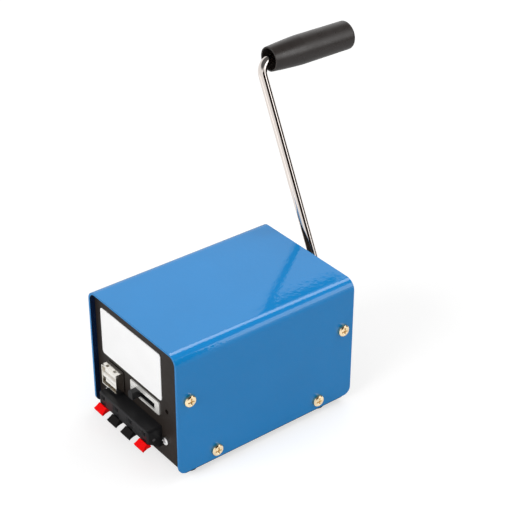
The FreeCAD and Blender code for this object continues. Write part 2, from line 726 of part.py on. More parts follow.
def lever_profile():
    """Side view of a lever as y and z pairs: its tab under the block's slope, then its body in the pocket."""
    pin_y, pin_z = lever_pin_place()
    tip_y = TERMINAL_FRONT - LEVER_REACH
    tip_z = TERMINAL_FACE_BOTTOM_Z - LEVER_DROP
    back_y = pin_y + LEVER_PIN_DIAMETER + LEVER_GAP
    tab_end_y = TERMINAL_FRONT + LEVER_TAB_DEPTH
    tab_end_z = TERMINAL_FACE_BOTTOM_Z - LEVER_TAB_DROP
    return [
        (TERMINAL_FRONT - LEVER_NOSE, TERMINAL_FACE_BOTTOM_Z - LEVER_GAP),
        (tip_y, tip_z + LEVER_TIP_THICKNESS / 2),
        (tip_y + LEVER_GAP, tip_z - LEVER_TIP_THICKNESS / 2),
        (tab_end_y + LEVER_TIP_THICKNESS / 2, tab_end_z - LEVER_TIP_THICKNESS / 2),
        (back_y, TERMINAL_FACE_BOTTOM_Z - LEVER_BACK_DROP),
        (back_y, pin_z + LEVER_PIN_DIAMETER),
        (pin_y - LEVER_PIN_DIAMETER, pin_z + LEVER_PIN_DIAMETER),
        (pin_y - LEVER_PIN_DIAMETER, tab_end_z + LEVER_GAP),
        (tab_end_y, tab_end_z),
    ]


def terminal_block():
    """Moulded block: a face with four wire holes over a sloped underside that holds the levers' pockets."""
    left, right = terminal_span()
    side_view = [(TERMINAL_FRONT, TERMINAL_FACE_BOTTOM_Z), (TERMINAL_FRONT, TERMINAL_TOP_Z),
                 (TERMINAL_BACK, TERMINAL_TOP_Z), (TERMINAL_BACK, TERMINAL_BOTTOM_Z),
                 (TERMINAL_FRONT + TERMINAL_SLOPE_RUN, TERMINAL_BOTTOM_Z)]
    body = along_x(side_view, left, right - left)
    body = rounded(body, TERMINAL_TOP_ROUND, V(1, 0, 0),
                   lambda p: p.z > TERMINAL_TOP_Z - 1 and p.y < TERMINAL_FRONT + 1)
    flange = block((left - TERMINAL_FLANGE_OVERHANG, right + TERMINAL_FLANGE_OVERHANG),
                   (PANEL_BACK, PANEL_BACK + TERMINAL_FLANGE_THICKNESS), (TERMINAL_BOTTOM_Z, TERMINAL_TOP_Z))
    body = body.fuse(flange).removeSplitter()
    body = rounded(body, TERMINAL_END_ROUND, V(0, 1, 0),
                   lambda p: p.z > TERMINAL_TOP_Z - 0.01 and p.y < PANEL_FRONT)
    tools = []
    pin_y, pin_z = lever_pin_place()
    recess_radius = (FACE_RECESS_WIDTH ** 2 / 4 + FACE_RECESS_DEPTH ** 2) / (2 * FACE_RECESS_DEPTH)
    for x in terminal_xs():
        hole = rod_y((x, WIRE_HOLE_Z), WIRE_HOLE_DIAMETER,
                     (TERMINAL_FRONT - 1, TERMINAL_FRONT + WIRE_HOLE_DEPTH))
        hollow = rod_z(x, TERMINAL_FRONT + FACE_RECESS_DEPTH - recess_radius, 2 * recess_radius,
                       (TERMINAL_FACE_BOTTOM_Z - 1, TERMINAL_TOP_Z - FACE_RECESS_TOP))
        funnel_start = TERMINAL_FRONT + FACE_RECESS_DEPTH - WIRE_FUNNEL_START
        funnel = Part.makeCone(WIRE_FUNNEL_DIAMETER / 2, WIRE_HOLE_DIAMETER / 2, WIRE_FUNNEL_DEPTH,
                               V(x, funnel_start, WIRE_HOLE_Z), V(0, 1, 0))
        pocket_half = LEVER_BASE_WIDTH / 2 + LEVER_GAP
        pocket = block((x - pocket_half, x + pocket_half),
                       (TERMINAL_FRONT + POCKET_SETBACK, pin_y + POCKET_BACK_ROOM),
                       (TERMINAL_BOTTOM_Z - 1, pin_z + LEVER_PIN_DIAMETER + LEVER_SWING_ROOM))
        tools += [hole, hollow, funnel, pocket]
    tools.append(rod_x(pin_y, pin_z, LEVER_PIN_DIAMETER, (left, right)))
    for x in terminal_screw_xs():
        tools.append(rod_y((x, TERMINAL_SCREW_Z), SMALL_SCREW_HOLE,
                           (PANEL_BACK - 1, PANEL_BACK + TERMINAL_FLANGE_THICKNESS + 1)))
    return body.cut(tools)


def terminal_pin():
    """One steel hinge pin through the four levers."""
    left, right = terminal_span()
    pin_y, pin_z = lever_pin_place()
    return rod_x(pin_y, pin_z, LEVER_PIN_DIAMETER, (left, right))


def lever_side_cut(x, side):
    """What is cut away beside a lever: a waisted edge along its tab, and a straight one along its body."""
    tip_y = TERMINAL_FRONT - LEVER_REACH
    root_y = TERMINAL_FRONT + LEVER_TAB_DEPTH
    back_y = TERMINAL_BACK
    tip = V(x + side * LEVER_TIP_WIDTH / 2, tip_y, 0)
    neck = V(x + side * LEVER_NECK_WIDTH / 2, TERMINAL_FRONT, 0)
    root = V(x + side * LEVER_ROOT_WIDTH / 2, root_y, 0)
    outside = x + side * LEVER_TIP_WIDTH
    rest = Part.makePolygon([
        root, V(x + side * LEVER_BASE_WIDTH / 2, root_y, 0), V(x + side * LEVER_BASE_WIDTH / 2, back_y, 0),
        V(outside, back_y, 0), V(outside, tip_y, 0), tip])
    waist = Part.Arc(tip, neck, root).toShape()
    return Part.Face(Part.Wire([waist] + rest.Edges)).extrude(V(0, 0, TERMINAL_TOP_Z))


def lever(x):
    """Spring lever: a finger tab with waisted sides, and a narrower body on the hinge pin."""
    pin_y, pin_z = lever_pin_place()
    wedge = along_x(lever_profile(), x - LEVER_TIP_WIDTH / 2, LEVER_TIP_WIDTH)
    hole = rod_x(pin_y, pin_z, LEVER_PIN_DIAMETER + 2 * SHAFT_CLEARANCE,
                 (x - LEVER_TIP_WIDTH, x + LEVER_TIP_WIDTH))
    return wedge.cut([lever_side_cut(x, -1), lever_side_cut(x, 1), hole])


def terminal_springs():
    """Solder tag of each way, on the back of the block at the height of its wire hole."""
    springs = []
    for x in terminal_xs():
        springs.append(block((x - SPRING_WIDTH / 2, x + SPRING_WIDTH / 2),
                             (TERMINAL_BACK, TERMINAL_BACK + SPRING_LENGTH),
                             (WIRE_HOLE_Z - SPRING_THICKNESS / 2, WIRE_HOLE_Z + SPRING_THICKNESS / 2)))
    return springs


def terminal_screws():
    screws = []
    for x in terminal_screw_xs():
        screws.append(pan_screw(
            V(x, PANEL_FRONT, TERMINAL_SCREW_Z), V(0, -1, 0), SMALL_SCREW_SHANK, SMALL_SCREW_HEAD,
            SMALL_SCREW_HEAD_HEIGHT, CHASSIS_SHEET + TERMINAL_FLANGE_THICKNESS + TERMINAL_SCREW_END))
    return screws


# Gear train


def involute(angle):
    return math.tan(angle) - angle


def gear_outline(axis, teeth, module, shift, phase):
    """Closed involute outline as x and z pairs, with one tooth centred on the phase angle."""
    pressure = math.radians(PRESSURE_ANGLE)
    pitch_radius = module * teeth / 2
    base_radius = pitch_radius * math.cos(pressure)
    tip_radius = pitch_radius + module * (ADDENDUM + shift)
    root_radius = pitch_radius - module * (DEDENDUM - shift)
    thickness = module * (math.pi / 2 + 2 * shift * math.tan(pressure)) - BACKLASH / 2
    flank_start = max(base_radius, root_radius)
    flank = []
    if root_radius < base_radius:
        flank.append((root_radius, thickness / (2 * pitch_radius) + involute(pressure)))
    for step in range(3):
        radius = flank_start + (tip_radius - flank_start) * step / 2
        working = math.acos(min(1.0, base_radius / radius))
        flank.append((radius, thickness / (2 * pitch_radius) + involute(pressure) - involute(working)))
    outline = []
    for tooth in range(teeth):
        middle = math.radians(phase) + 2 * math.pi * tooth / teeth
        for radius, half_angle in flank:
            outline.append((radius, middle - half_angle))
        for radius, half_angle in reversed(flank):
            outline.append((radius, middle + half_angle))
    return [(axis[0] + radius * math.cos(angle), axis[1] + radius * math.sin(angle))
            for radius, angle in outline]


def gear(axis, teeth, module, shift, phase, y):
    points = [V(x, y[0], z) for x, z in gear_outline(axis, teeth, module, shift, phase)]
    return Part.Face(Part.makePolygon(points + [points[0]])).extrude(V(0, y[1] - y[0], 0))


def webbed(body, axis, teeth, module, hub, y):
    """Recesses both faces of a gear between its hub and its rim."""
    rim = module * (teeth / 2 - DEDENDUM - PINION_SHIFT) - GEAR_RIM
    depth = (y[1] - y[0] - GEAR_WEB_THICKNESS) / 2
    for low, high in ((y[0] - 1, y[0] + depth), (y[1] - depth, y[1] + 1)):
        body = body.cut(rod_y(axis, 2 * rim, (low, high)).cut(rod_y(axis, hub, (low, high))))
    return body


def drive_gear():
    y = (CRANK_GEAR_FRONT, CRANK_GEAR_BACK)
    body = gear(CRANK_AXIS, CRANK_TEETH, FIRST_MODULE, -PINION_SHIFT, IDLER_DIRECTION, y)
    body = webbed(body, CRANK_AXIS, CRANK_TEETH, FIRST_MODULE, GEAR_HUB_DIAMETER, y)
    body = body.fuse(rod_y(CRANK_AXIS, GEAR_HUB_DIAMETER, (y[1] - 1, y[1] + GEAR_HUB_LENGTH)))
    return body.cut(rod_y(CRANK_AXIS, SHAFT_DIAMETER, (y[0] - 1, y[1] + GEAR_HUB_LENGTH + 1)))


def idler_gear():
    """Compound idler: a small pinion driven by the crank gear and a large gear that drives the rotor."""
    pinion_y = (IDLER_GEAR_BACK - 0.5, CRANK_GEAR_BACK + PINION_OVERLAP)
    phase = IDLER_DIRECTION + 180.0 + 180.0 / IDLER_PINION_TEETH
    pinion = gear(IDLER_AXIS, IDLER_PINION_TEETH, FIRST_MODULE, PINION_SHIFT, phase, pinion_y)
    y = (IDLER_GEAR_FRONT, IDLER_GEAR_BACK)
    wheel = gear(IDLER_AXIS, IDLER_TEETH, SECOND_MODULE, -PINION_SHIFT, ROTOR_DIRECTION, y)
    wheel = webbed(wheel, IDLER_AXIS, IDLER_TEETH, SECOND_MODULE, GEAR_HUB_DIAMETER, y)
    bore = rod_y(IDLER_AXIS, PIN_DIAMETER + 2 * SHAFT_CLEARANCE, (FRONT_PLATE_FRONT, REAR_PLATE_BACK))
    return wheel.fuse(pinion).cut(bore)


def rotor_pinion():
    phase = ROTOR_DIRECTION + 180.0 + 180.0 / ROTOR_TEETH
    y = (IDLER_GEAR_FRONT - PINION_OVERLAP, IDLER_GEAR_BACK + PINION_OVERLAP)
    body = gear(ROTOR_AXIS, ROTOR_TEETH, SECOND_MODULE, PINION_SHIFT, phase, y)
    return body.cut(rod_y(ROTOR_AXIS, ROTOR_SHAFT_DIAMETER, (y[0] - 1, y[1] + 1)))


def idler_pin():
    return rod_y(IDLER_AXIS, PIN_DIAMETER, (FRONT_PLATE_FRONT, REAR_PLATE_BACK))


def gear_plate(y):
    plate = upright_plate((-GEAR_PLATE_HALF_WIDTH, GEAR_PLATE_HALF_WIDTH), y,
                          (GEAR_PLATE_BOTTOM, GEAR_PLATE_TOP), GEAR_PLATE_CORNER)
    through = (y[0] - 1, y[1] + 1)
    tools = [rod_y(IDLER_AXIS, PIN_DIAMETER, through)]
    for place in spacer_places():
        tools.append(rod_y(place, SMALL_SCREW_HOLE, through))
    return plate.cut(tools)


def rear_gear_plate():
    y = (REAR_PLATE_FRONT, REAR_PLATE_BACK)
    return gear_plate(y).cut(rod_y(CRANK_AXIS, BUSH_DIAMETER, (y[0] - 1, y[1] + 1)))


def can_screw_places():
    return [polar(ROTOR_AXIS, CAN_SCREW_RADIUS, angle) for angle in CAN_SCREW_ANGLES]


def front_gear_plate():
    y = (FRONT_PLATE_FRONT, FRONT_PLATE_BACK)
    through = (y[0] - 1, y[1] + 1)
    tools = [rod_y(CRANK_AXIS, NOSE_BUSH_DIAMETER, through),
             rod_y(ROTOR_AXIS, ROTOR_SHAFT_DIAMETER + 1.0, through)]
    for place in can_screw_places():
        tools.append(rod_y(place, SMALL_SCREW_HOLE, through))
    return gear_plate(y).cut(tools)


def tube_y(axis, outer, inner, y):
    return rod_y(axis, outer, y).cut(rod_y(axis, inner, (y[0] - 1, y[1] + 1)))


def plate_spacers():
    inner = SMALL_SCREW_HOLE
    spacers = []
    for place in spacer_places():
        spacers.append(tube_y(place, SPACER_DIAMETER, inner, (FRONT_PLATE_BACK, REAR_PLATE_FRONT)))
        spacers.append(tube_y(place, SPACER_DIAMETER, inner, (REAR_PLATE_BACK, REAR_PANEL_FRONT)))
    return spacers


def plate_screws():
    """Screws from behind through the rear panel, and screws from the front into the long spacers."""
    screws = []
    rear_length = REAR_PANEL_BACK - REAR_PLATE_FRONT + PLATE_SCREW_THREAD
    for x, z in spacer_places():
        screws.append(pan_screw(V(x, REAR_PANEL_BACK, z), V(0, 1, 0), SMALL_SCREW_SHANK, SMALL_SCREW_HEAD,
                                SMALL_SCREW_HEAD_HEIGHT, rear_length))
        screws.append(pan_screw(V(x, FRONT_PLATE_FRONT, z), V(0, -1, 0), SMALL_SCREW_SHANK, SMALL_SCREW_HEAD,
                                SMALL_SCREW_HEAD_HEIGHT, GEAR_PLATE_THICKNESS + PLATE_SCREW_THREAD))
    return screws


BUSH_FACE = REAR_PANEL_BACK + BUSH_FLANGE_THICKNESS


def rear_bush():
    body = rod_y(CRANK_AXIS, BUSH_DIAMETER, (REAR_PLATE_FRONT, BUSH_FACE))
    flange = rod_y(CRANK_AXIS, BUSH_FLANGE_DIAMETER, (REAR_PANEL_BACK, BUSH_FACE))
    bore = rod_y(CRANK_AXIS, SHAFT_DIAMETER + 2 * SHAFT_CLEARANCE, (REAR_PLATE_FRONT - 1, BUSH_FACE + 1))
    return body.fuse(flange).cut(bore)


def front_bush():
    inner = SHAFT_NOSE_DIAMETER + 2 * SHAFT_CLEARANCE
    return tube_y(CRANK_AXIS, NOSE_BUSH_DIAMETER, inner, (FRONT_PLATE_FRONT, FRONT_PLATE_BACK))


# Crank

HUB_FRONT = BUSH_FACE + HUB_START_GAP
HUB_BACK = ARM_PLANE + ROD_DIAMETER / 2 + HUB_END_WALL
SHAFT_END = HUB_FRONT + SHAFT_IN_HUB


def crank_shaft():
    nose = rod_y(CRANK_AXIS, SHAFT_NOSE_DIAMETER, (FRONT_PLATE_FRONT + 0.5, CRANK_GEAR_FRONT))
    return nose.fuse(rod_y(CRANK_AXIS, SHAFT_DIAMETER, (CRANK_GEAR_FRONT - 0.5, SHAFT_END)))


def arm_direction():
    x, z = polar((0.0, 0.0), 1.0, 90.0 + ARM_LEAN)
    return V(x, 0, z)


def arm_point(radius, y):
    x, z = polar(CRANK_AXIS, radius, 90.0 + ARM_LEAN)
    return V(x, y, z)


def crank_hub():
    """Turned boss: the shaft enters from the front, and the rod crosses it behind the shaft."""
    body = rod_y(CRANK_AXIS, HUB_DIAMETER, (HUB_FRONT, HUB_BACK))
    body = body.makeChamfer(HUB_CHAMFER, [edge for edge in body.Edges if isinstance(edge.Curve, Part.Circle)])
    reach = 2 * HUB_DIAMETER
    rod_hole = Part.makeCylinder(ROD_DIAMETER / 2, reach, arm_point(-HUB_DIAMETER, ARM_PLANE),
                                 arm_direction())
    side = polar((0.0, 0.0), 1.0, ARM_LEAN)
    set_hole = Part.makeCylinder(SET_SCREW_DIAMETER / 2, HUB_DIAMETER,
                                 V(CRANK_AXIS[0], HUB_FRONT + SHAFT_IN_HUB / 2, CRANK_AXIS[1]),
                                 V(side[0], 0, side[1]))
    end_hole = rod_y(CRANK_AXIS, SET_SCREW_DIAMETER, (ARM_PLANE, HUB_BACK + 1))
    bore = rod_y(CRANK_AXIS, SHAFT_DIAMETER, (HUB_FRONT - 1, SHAFT_END))
    return body.cut([bore, rod_hole, set_hole, end_hole])


def hub_screws():
    """A set screw on the shaft and one on the rod."""
    side = polar((0.0, 0.0), 1.0, ARM_LEAN)
    outward = V(side[0], 0, side[1])
    middle = V(CRANK_AXIS[0], HUB_FRONT + SHAFT_IN_HUB / 2, CRANK_AXIS[1])
    shaft_seat = middle + outward * (SHAFT_DIAMETER / 2)
    shaft_screw = Part.makeCylinder(SET_SCREW_DIAMETER / 2, SET_SCREW_LENGTH, shaft_seat, outward)
    rod_seat = ARM_PLANE + ROD_DIAMETER / 2
    rod_screw = rod_y(CRANK_AXIS, SET_SCREW_DIAMETER, (rod_seat, rod_seat + SET_SCREW_LENGTH))
    return [shaft_screw, rod_screw]


GRIP_END = GRIP_START + GRIP_LENGTH
CAVITY_START = GRIP_END - GRIP_CAVITY_DEPTH
CLIP_START = CAVITY_START + CLIP_GAP
ROD_END = CLIP_START + CLIP_THICKNESS + ROD_TIP


def crank_rod():
    """Round bar: straight arm, one bend, and a straight journal for the grip."""
    start = arm_point(-ROD_TAIL, ARM_PLANE)
    bend_start = arm_point(CRANK_RADIUS - ROD_BEND, ARM_PLANE)
    turn = math.sqrt(0.5)
    bend_middle = arm_point(CRANK_RADIUS - ROD_BEND + ROD_BEND * turn, ARM_PLANE + ROD_BEND * (1 - turn))
    bend_end = arm_point(CRANK_RADIUS, ARM_PLANE + ROD_BEND)
    end = arm_point(CRANK_RADIUS, ROD_END)
    path = Part.Wire([
        Part.LineSegment(start, bend_start).toShape(),
        Part.Arc(bend_start, bend_middle, bend_end).toShape(),
        Part.LineSegment(bend_end, end).toShape(),
    ])
    section = Part.Wire(Part.makeCircle(ROD_DIAMETER / 2, start, arm_direction()))
    return path.makePipeShell([section], True, False)


def crank_grip():
    """Revolving handle, open at the near end, with a shoulder for its clip at the far end."""
    near = GRIP_NEAR_DIAMETER / 2
    far = GRIP_FAR_DIAMETER / 2
    swell = GRIP_MAX_DIAMETER / 2
    corner = math.sqrt(0.5) * GRIP_END_ROUND
    axis = GRIP_AXIS

    def at(radius, y):
        return V(axis[0] + radius, y, axis[1])

    round_start = at(far, GRIP_END - GRIP_END_ROUND)
    round_middle = at(far - GRIP_END_ROUND + corner, GRIP_END - GRIP_END_ROUND + corner)
    round_end = at(far - GRIP_END_ROUND, GRIP_END)
    swell_middle = at((near + swell) / 2 + GRIP_SWELL_BULGE, GRIP_START + GRIP_SWELL / 2)
    edges = [
        Part.LineSegment(at(0, GRIP_START), at(near, GRIP_START)).toShape(),
        Part.Arc(at(near, GRIP_START), swell_middle, at(swell, GRIP_START + GRIP_SWELL)).toShape(),
        Part.LineSegment(at(swell, GRIP_START + GRIP_SWELL), round_start).toShape(),
        Part.Arc(round_start, round_middle, round_end).toShape(),
        Part.LineSegment(round_end, at(0, GRIP_END)).toShape(),
        Part.LineSegment(at(0, GRIP_END), at(0, GRIP_START)).toShape(),
    ]
    body = Part.Face(Part.Wire(edges)).revolve(at(0, 0), V(0, 1, 0), 360)
    mouth = rod_y(axis, GRIP_MOUTH_DIAMETER, (GRIP_START - 1, GRIP_START + GRIP_MOUTH_DEPTH))
    bore = rod_y(axis, ROD_DIAMETER + 2 * GRIP_BORE_CLEARANCE, (GRIP_START - 1, GRIP_END))
    cavity = rod_y(axis, GRIP_CAVITY_DIAMETER, (CAVITY_START, GRIP_END + 1))
    return body.cut([mouth, bore, cavity])


def grip_cap():
    return rod_y(GRIP_AXIS, GRIP_CAVITY_DIAMETER, (GRIP_END - GRIP_CAP_THICKNESS, GRIP_END))


def rod_clip():
    return tube_y(GRIP_AXIS, CLIP_DIAMETER, ROD_DIAMETER, (CLIP_START, CLIP_START + CLIP_THICKNESS))


# Generator


def generator_can():
    """Drawn can, closed in front with a bearing boss, open behind."""
    body = rod_y(ROTOR_AXIS, CAN_DIAMETER, (CAN_FRONT, CAN_BACK))
    front_edge = [edge for edge in body.Edges
                  if isinstance(edge.Curve, Part.Circle) and edge.CenterOfMass.y < CAN_FRONT + 1]
    body = body.makeFillet(CAN_EDGE, front_edge)
    body = body.fuse(rod_y(ROTOR_AXIS, BOSS_DIAMETER, (CAN_FRONT - BOSS_LENGTH, CAN_FRONT + 1)))
    inner = CAN_DIAMETER - 2 * CAN_WALL
    hollow = rod_y(ROTOR_AXIS, inner, (CAN_FRONT + CAN_WALL, CAN_BACK + 1))
    seat = rod_y(ROTOR_AXIS, BEARING_DIAMETER,
                 (CAN_FRONT - BOSS_LENGTH + BOSS_WALL, CAN_FRONT + CAN_WALL + 1))
    return body.cut([hollow, seat])


def end_cap():
    body = rod_y(ROTOR_AXIS, CAN_DIAMETER - 2 * CAN_WALL, (CAN_BACK - END_CAP_THICKNESS, CAN_BACK))
    tools = [rod_y(ROTOR_AXIS, BEARING_DIAMETER,
                   (CAN_BACK - END_CAP_THICKNESS - 1, CAN_BACK - END_CAP_THICKNESS + BEARING_WIDTH)),
             rod_y(ROTOR_AXIS, ROTOR_SHAFT_DIAMETER + 1.0, (CAN_BACK - END_CAP_THICKNESS - 1, CAN_BACK + 1))]
    for place in can_screw_places():
        tools.append(rod_y(place, SMALL_SCREW_HOLE,
                           (CAN_BACK - END_CAP_THICKNESS - 1, CAN_BACK + 1)))
    return body.cut(tools)


def can_screws():
    """Screws through the front gear plate into the generator's end cap."""
    return [pan_screw(V(x, FRONT_PLATE_BACK, z), V(0, 1, 0), SMALL_SCREW_SHANK, SMALL_SCREW_HEAD,
                      PLATE_GAP, GEAR_PLATE_THICKNESS + END_CAP_THICKNESS)
            for x, z in can_screw_places()]


def rotor_bearings():
    front = CAN_FRONT - BOSS_LENGTH + BOSS_WALL
    back = CAN_BACK - END_CAP_THICKNESS
    inner = ROTOR_SHAFT_DIAMETER + 2 * SHAFT_CLEARANCE
    return [tube_y(ROTOR_AXIS, BEARING_DIAMETER, inner, (y, y + BEARING_WIDTH)) for y in (front, back)]


def magnet_limits():
    middle = (CAN_FRONT + CAN_BACK) / 2 - 1.0
    return middle - MAGNET_LENGTH / 2, middle + MAGNET_LENGTH / 2


def rotor_magnet():
    return tube_y(ROTOR_AXIS, MAGNET_DIAMETER, ROTOR_SHAFT_DIAMETER, magnet_limits())


def rotor_shaft():
    return rod_y(ROTOR_AXIS, ROTOR_SHAFT_DIAMETER,
                 (CAN_FRONT - BOSS_LENGTH + BOSS_WALL + SHAFT_END_GAP, IDLER_GEAR_BACK + PINION_OVERLAP))


def stator_bar(index, width, inner, outer, y):
    """Radial bar between two radii, at one pole's angle."""
    bar = block((inner, outer), y, (-width / 2, width / 2))
    bar.rotate(V(0, 0, 0), V(0, 1, 0), -360.0 * index / STATOR_SLOTS)
    bar.translate(V(ROTOR_AXIS[0], 0, ROTOR_AXIS[1]))
    return bar


def stator_radii():
    outer = CAN_DIAMETER / 2 - CAN_WALL
    return MAGNET_DIAMETER / 2 + AIR_GAP, outer - STATOR_YOKE, outer


def stator_core():
    """Laminated ring with six poles, each with a wider shoe at the air gap."""
    bore, yoke, outer = stator_radii()
    y = magnet_limits()
    core = tube_y(ROTOR_AXIS, 2 * outer, 2 * yoke, y)
    shoe_ring = tube_y(ROTOR_AXIS, 2 * (bore + STATOR_SHOE_DEPTH), 2 * bore, y)
    shoe_width = 2 * bore * math.sin(math.radians(STATOR_SHOE_ANGLE / 2))
    for index in range(STATOR_SLOTS):
        pole = stator_bar(index, STATOR_POLE_WIDTH, bore + STATOR_SHOE_DEPTH / 2, yoke + STATOR_YOKE / 2, y)
        shoe = shoe_ring.common(stator_bar(index, shoe_width, bore / 2, outer, y))
        core = core.fuse([pole, shoe])
    return core.cut(rod_y(ROTOR_AXIS, 2 * bore, y)).removeSplitter()


def stator_coils():
    """One winding round each pole."""
    bore, yoke, outer = stator_radii()
    low, high = magnet_limits()
    inner = bore + STATOR_SHOE_DEPTH + COIL_SHOE_GAP
    around = (low - COIL_THICKNESS, high + COIL_THICKNESS)
    coils = []
    for index in range(STATOR_SLOTS):
        coil = stator_bar(index, STATOR_POLE_WIDTH + 2 * COIL_THICKNESS, inner, yoke - COIL_YOKE_GAP, around)
        pole = stator_bar(index, STATOR_POLE_WIDTH, inner - 1, yoke + 1, (low, high))
        coils.append(coil.cut(pole))
    return coils


# Circuit board

BOARD_BOTTOM = BASE_TOP + STANDOFF_HEIGHT
BOARD_TOP = BOARD_BOTTOM + BOARD_THICKNESS
BOARD_FRONT_Y = BOARD_REAR_Y - BOARD_LENGTH
LEAD_Y = CAN_FRONT - LEAD_REACH


def circuit_board():
    board = block((-BOARD_WIDTH / 2, BOARD_WIDTH / 2), (BOARD_FRONT_Y, BOARD_REAR_Y),
                  (BOARD_BOTTOM, BOARD_TOP))
    board = rounded(board, BOARD_CORNER, V(0, 0, 1))
    holes = [rod_z(x, y, SMALL_SCREW_HOLE, (BOARD_BOTTOM - 1, BOARD_TOP + 1))
             for x, y in standoff_places()]
    return board.cut(holes)


def board_standoffs():
    inner = SMALL_SCREW_HOLE
    return [rod_z(x, y, STANDOFF_DIAMETER, (BASE_TOP, BOARD_BOTTOM)).cut(rod_z(x, y, inner, (0, BOARD_TOP)))
            for x, y in standoff_places()]


def board_screws():
    return [pan_screw(V(x, y, BOARD_TOP), V(0, 0, 1), SMALL_SCREW_SHANK, SMALL_SCREW_HEAD,
                      SMALL_SCREW_HEAD_HEIGHT, BOARD_TOP - FOOT_HEIGHT) for x, y in standoff_places()]


def block_round(x, y, width, depth, z):
    """Box with its middle over a place, between two heights."""
    return block((x - width / 2, x + width / 2), (y - depth / 2, y + depth / 2), z)


def capacitors():
    """Two upright electrolytic capacitors, halfway between the terminals' tags and the phase leads."""
    y = (TERMINAL_BACK + SPRING_LENGTH + LEAD_Y - LEAD_DIAMETER / 2) / 2
    cans = []
    for index in range(2):
        x = FIRST_CAPACITOR_X + index * (CAPACITOR_DIAMETER + CAPACITOR_GAP)
        body = rod_z(x, y, CAPACITOR_DIAMETER, (BOARD_TOP, BOARD_TOP + CAPACITOR_HEIGHT))
        rims = [edge for edge in body.Edges if isinstance(edge.Curve, Part.Circle)]
        cans.append(body.makeFillet(CAPACITOR_ROUND, rims))
    return cans


def rectifier():
    """Bridge rectifier, upright on the board on a row of legs."""
    y = BOARD_FRONT_Y + RECTIFIER_SETBACK
    bottom = BOARD_TOP + RECTIFIER_LIFT
    body = block_round(RECTIFIER_X, y, RECTIFIER_WIDTH, RECTIFIER_DEPTH, (bottom, bottom + RECTIFIER_HEIGHT))
    pitch = RECTIFIER_WIDTH / RECTIFIER_LEGS
    legs = []
    for index in range(RECTIFIER_LEGS):
        x = RECTIFIER_X - RECTIFIER_WIDTH / 2 + pitch * (index + 0.5)
        legs.append(block_round(x, y, LEG_SIZE, LEG_SIZE, (BOARD_TOP, bottom + LEG_JOIN)))
    return body.fuse(legs)


def inductor():
    y = BOARD_REAR_Y - INDUCTOR_INSET
    ring = rod_z(INDUCTOR_X, y, INDUCTOR_DIAMETER, (BOARD_TOP, BOARD_TOP + INDUCTOR_HEIGHT))
    ring = ring.cut(rod_z(INDUCTOR_X, y, INDUCTOR_BORE, (BOARD_TOP - 1, BOARD_TOP + INDUCTOR_HEIGHT + 1)))
    rims = [edge for edge in ring.Edges
            if isinstance(edge.Curve, Part.Circle) and edge.Curve.Radius > INDUCTOR_BORE]
    return ring.makeFillet(INDUCTOR_ROUND, rims)


def heat_sink():
    """Finned aluminium block on the regulator."""
    y = BOARD_REAR_Y - REGULATOR_INSET
    bottom = BOARD_TOP + REGULATOR_HEIGHT
    base = block_round(REGULATOR_X, y, HEAT_SINK_WIDTH, HEAT_SINK_DEPTH, (bottom, bottom + HEAT_SINK_BASE))
    pitch = (HEAT_SINK_WIDTH - FIN_THICKNESS) / (FIN_COUNT - 1)
    fins = []
    for index in range(FIN_COUNT):
        x = REGULATOR_X + (index - (FIN_COUNT - 1) / 2) * pitch
        fins.append(block_round(x, y, FIN_THICKNESS, HEAT_SINK_DEPTH, (bottom, bottom + HEAT_SINK_HEIGHT)))
    return base.fuse(fins).removeSplitter()


def regulator():
    return block_round(REGULATOR_X, BOARD_REAR_Y - REGULATOR_INSET, REGULATOR_WIDTH, REGULATOR_WIDTH,
                       (BOARD_TOP, BOARD_TOP + REGULATOR_HEIGHT))


def bent_lead(start, corner, end):
    """Insulated lead of two straight runs and one arc."""
    first = (start - corner).normalize()
    second = (end - corner).normalize()
    arc_start = corner + first * LEAD_BEND
    arc_end = corner + second * LEAD_BEND
    centre = corner + (first + second) * LEAD_BEND
    arc_middle = centre - (first + second).normalize() * LEAD_BEND
    path = Part.Wire([
        Part.LineSegment(start, arc_start).toShape(),
        Part.Arc(arc_start, arc_middle, arc_end).toShape(),
        Part.LineSegment(arc_end, end).toShape(),
    ])
    section = Part.Wire(Part.makeCircle(LEAD_DIAMETER / 2, start, first * -1.0))
    return path.makePipeShell([section], True, False)


def generator_leads():
    """Three phase leads from the front of the can down to the board."""
    leads = []
    z = ROTOR_AXIS[1] - CAN_DIAMETER / 2 + LEAD_INSET
    for index in (-1, 0, 1):
        x = ROTOR_AXIS[0] + index * LEAD_SPACING
        leads.append(bent_lead(V(x, CAN_FRONT, z), V(x, LEAD_Y, z), V(x, LEAD_Y, BOARD_TOP)))
    return leads


